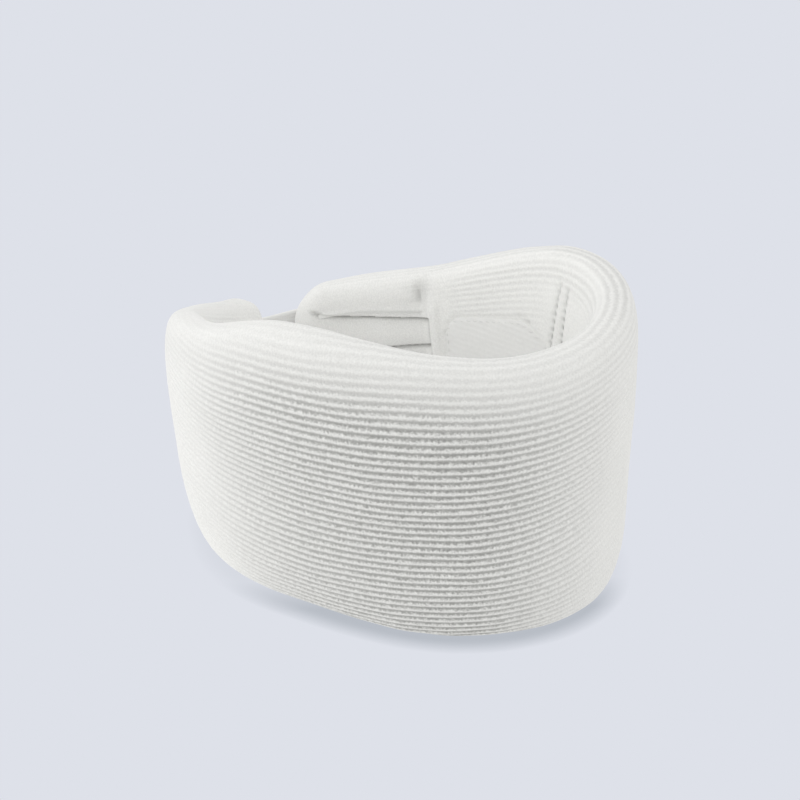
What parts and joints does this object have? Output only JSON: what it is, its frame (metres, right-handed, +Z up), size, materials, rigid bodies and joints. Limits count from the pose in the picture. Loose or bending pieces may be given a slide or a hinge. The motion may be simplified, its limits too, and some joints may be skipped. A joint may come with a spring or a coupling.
{
  "type": "soft cervical collar",
  "caption": "Soft foam neck collar in a ribbed knit cover, contoured at the chin, bent into a loop and closed at the nape by a hook-and-loop strap that peels open.",
  "frame": {"origin": "centre of the footprint of the closed collar, on the plane it rests on", "axes": "+Z up, -Y towards the chin recess (front), +Y towards the closure at the nape, +X towards the wing that carries the loop landing tape"},
  "size_m": [0.1277, 0.1694, 0.1033],
  "materials": {
    "foam": "open-cell polyurethane foam",
    "rib_knit": "ribbed cotton stockinette",
    "smooth_knit": "fine smooth jersey",
    "hem_tape": "folded knit hem",
    "strap_webbing": "woven tape",
    "hook_tape": "nylon hook tape",
    "loop_tape": "brushed nylon loop tape",
    "thread": "spun polyester thread"
  },
  "bodies": {
    "front": {"foam_front": "foam", "cover_front": "rib_knit"},
    "hook_side": {"foam_hook_side": "foam", "cover_hook_side": "rib_knit"},
    "hook_end": {"foam_hook_end": "foam", "cover_hook_end": "rib_knit", "hem_hook_end": "hem_tape", "hem_stitch_hook_end": "thread", "strap_base": "strap_webbing", "strap_box_stitch": "thread"},
    "strap": {"strap_tab": "strap_webbing", "hook_pad": "hook_tape", "hook_pad_stitch": "thread"},
    "strap_tip": {"strap_tip": "strap_webbing"},
    "loop_side": {"foam_loop_side": "foam", "cover_loop_side": "rib_knit", "backing_patch": "smooth_knit", "backing_patch_stitch": "thread", "join_seam_stitch": "thread"},
    "loop_end": {"foam_loop_end": "foam", "cover_loop_end": "rib_knit", "hem_loop_end": "hem_tape", "hem_stitch_loop_end": "thread", "loop_tape": "loop_tape", "loop_tape_stitch": "thread", "quilting_stitch": "thread"}
  },
  "joints": [
    {"name": "strap_peel", "type": "hinge", "parent": "hook_end", "child": "strap", "pos_m": [-0.0247, 0.07727, 0.0345], "axis": [0.029, -0.0408, 0.9987], "range_deg": [0, 165]},
    {"name": "strap_tip_lift", "type": "hinge", "parent": "strap", "child": "strap_tip", "pos_m": [0.05128, 0.03847, 0.0345], "axis": [-0.1353, -0.069, 0.9884], "range_deg": [0, 60]},
    {"name": "hook_side_flex", "type": "hinge", "parent": "front", "child": "hook_side", "pos_m": [-0.05398, -0.03702, 0.05197], "axis": [0, 0, 1], "range_deg": [0, 22.01]},
    {"name": "hook_end_flex", "type": "hinge", "parent": "hook_side", "child": "hook_end", "pos_m": [-0.05537, 0.04001, 0.04188], "axis": [0, 0, 1], "range_deg": [0, 18.01]},
    {"name": "loop_side_flex", "type": "hinge", "parent": "front", "child": "loop_side", "pos_m": [0.05864, -0.04436, 0.0526], "axis": [0, 0, 1], "range_deg": [-22.01, 0]},
    {"name": "loop_end_flex", "type": "hinge", "parent": "loop_side", "child": "loop_end", "pos_m": [0.05312, 0.03109, 0.04452], "axis": [0, 0, 1], "range_deg": [-18.01, 0]}
  ],
  "couplings": [
    {"joint": "hook_side_flex", "follows": "strap_peel", "ratio": 0.13333},
    {"joint": "hook_end_flex", "follows": "strap_peel", "ratio": 0.10909},
    {"joint": "loop_side_flex", "follows": "strap_peel", "ratio": -0.13333},
    {"joint": "loop_end_flex", "follows": "strap_peel", "ratio": -0.10909}
  ]
}
